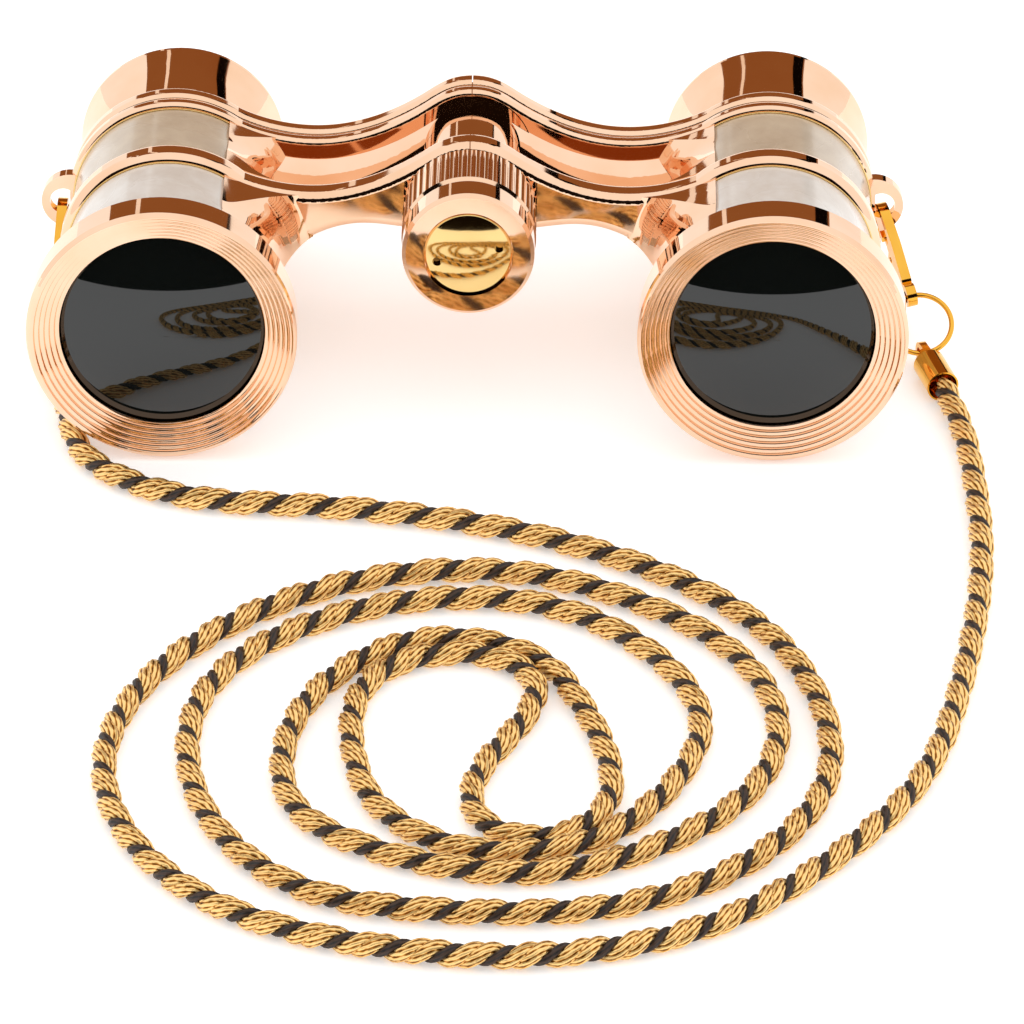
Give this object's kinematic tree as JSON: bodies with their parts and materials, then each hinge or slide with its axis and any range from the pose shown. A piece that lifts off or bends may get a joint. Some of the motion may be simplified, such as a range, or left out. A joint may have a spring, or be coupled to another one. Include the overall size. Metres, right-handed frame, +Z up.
{
  "type": "opera glass",
  "caption": "Folding opera glass: two barrels with pearl bands on a central hinge, focusing knob, flared eyecups and a coiled neck cord on snap clasps.",
  "frame": {"origin": "on the table, under the middle of the instrument's own box, without the cord and its fittings", "axes": "+Z up, +X across the two barrels to the right when the objectives face the viewer, -Y the way the objectives look"},
  "size_m": [0.1155, 0.1641, 0.0322],
  "materials": {
    "rose_gold": "mirror polished rose gold plating",
    "pale_gold": "polished champagne gold",
    "yellow_gold": "bright yellow gold plating",
    "pearl_light": "pale mother-of-pearl band",
    "pearl_champagne": "champagne mother-of-pearl band",
    "coated_glass": "coated optical glass",
    "black_metal": "matt black paint",
    "steel": "turned steel",
    "cord_thread": "twisted metallic thread"
  },
  "bodies": {
    "left_half": {"left_frame": "rose_gold", "left_barrel_tube": "black_metal", "left_front_sleeve": "pearl_light", "left_rear_sleeve": "pearl_champagne", "left_objective_bezel": "rose_gold", "left_objective_lens": "coated_glass", "left_lens_retainer": "black_metal", "hinge_spindle": "steel", "knob_washer": "rose_gold", "hinge_nut": "rose_gold", "left_clasp_body": "yellow_gold", "left_clasp_rivet": "yellow_gold", "left_jump_ring": "yellow_gold", "left_ferrule": "yellow_gold", "neck_cord": "cord_thread"},
    "right_half": {"right_frame": "rose_gold", "right_barrel_tube": "black_metal", "right_front_sleeve": "pearl_light", "right_rear_sleeve": "pearl_champagne", "right_objective_bezel": "rose_gold", "right_objective_lens": "coated_glass", "right_lens_retainer": "black_metal", "right_clasp_body": "yellow_gold", "right_clasp_rivet": "yellow_gold", "right_jump_ring": "yellow_gold", "right_ferrule": "yellow_gold"},
    "focus_knob": {"focus_knob": "rose_gold", "knob_cap": "pale_gold", "focus_screw": "steel"},
    "left_eyepiece": {"left_eyepiece_arm": "rose_gold", "left_draw_tube": "rose_gold", "left_eyecup": "rose_gold", "left_eye_lens": "coated_glass", "left_eye_lens_retainer": "black_metal", "focus_carriage": "rose_gold"},
    "right_eyepiece": {"right_eyepiece_arm": "rose_gold", "right_draw_tube": "rose_gold", "right_eyecup": "rose_gold", "right_eye_lens": "coated_glass", "right_eye_lens_retainer": "black_metal"},
    "left_lever": {"left_clasp_lever": "yellow_gold"},
    "right_lever": {"right_clasp_lever": "yellow_gold"}
  },
  "joints": [
    {"name": "fold", "type": "hinge", "parent": "left_half", "child": "right_half", "pos_m": [0, 0.00284, 0.02121], "axis": [0, 0.9976, -0.069], "range_deg": [0, 60]},
    {"name": "knob_turn", "type": "hinge", "parent": "left_half", "child": "focus_knob", "pos_m": [0, -0.01212, 0.02225], "axis": [0, 0.9976, -0.069], "range_deg": [0, 360]},
    {"name": "left_focus", "type": "slide", "parent": "left_half", "child": "left_eyepiece", "axis": [0, 0.9976, -0.069], "range_m": [0, 0.006]},
    {"name": "right_focus", "type": "slide", "parent": "right_half", "child": "right_eyepiece", "axis": [0, 0.9976, -0.069], "range_m": [0, 0.006]},
    {"name": "left_clasp_open", "type": "hinge", "parent": "left_half", "child": "left_lever", "pos_m": [-0.05008, 0.00661, 0.00791], "axis": [0.9993, -0.0331, -0.0164], "range_deg": [0, 20], "stiffness_Nm_per_rad": 0.002, "springref_deg": -11.46},
    {"name": "right_clasp_open", "type": "hinge", "parent": "right_half", "child": "right_lever", "pos_m": [0.05147, 0.00677, 0.00799], "axis": [0.9631, 0.2409, 0.1198], "range_deg": [0, 20], "stiffness_Nm_per_rad": 0.002, "springref_deg": -11.46}
  ],
  "couplings": [
    {"joint": "knob_turn", "follows": "left_focus", "rad_per_m": 1047.2},
    {"joint": "right_focus", "follows": "left_focus", "ratio": 1}
  ]
}
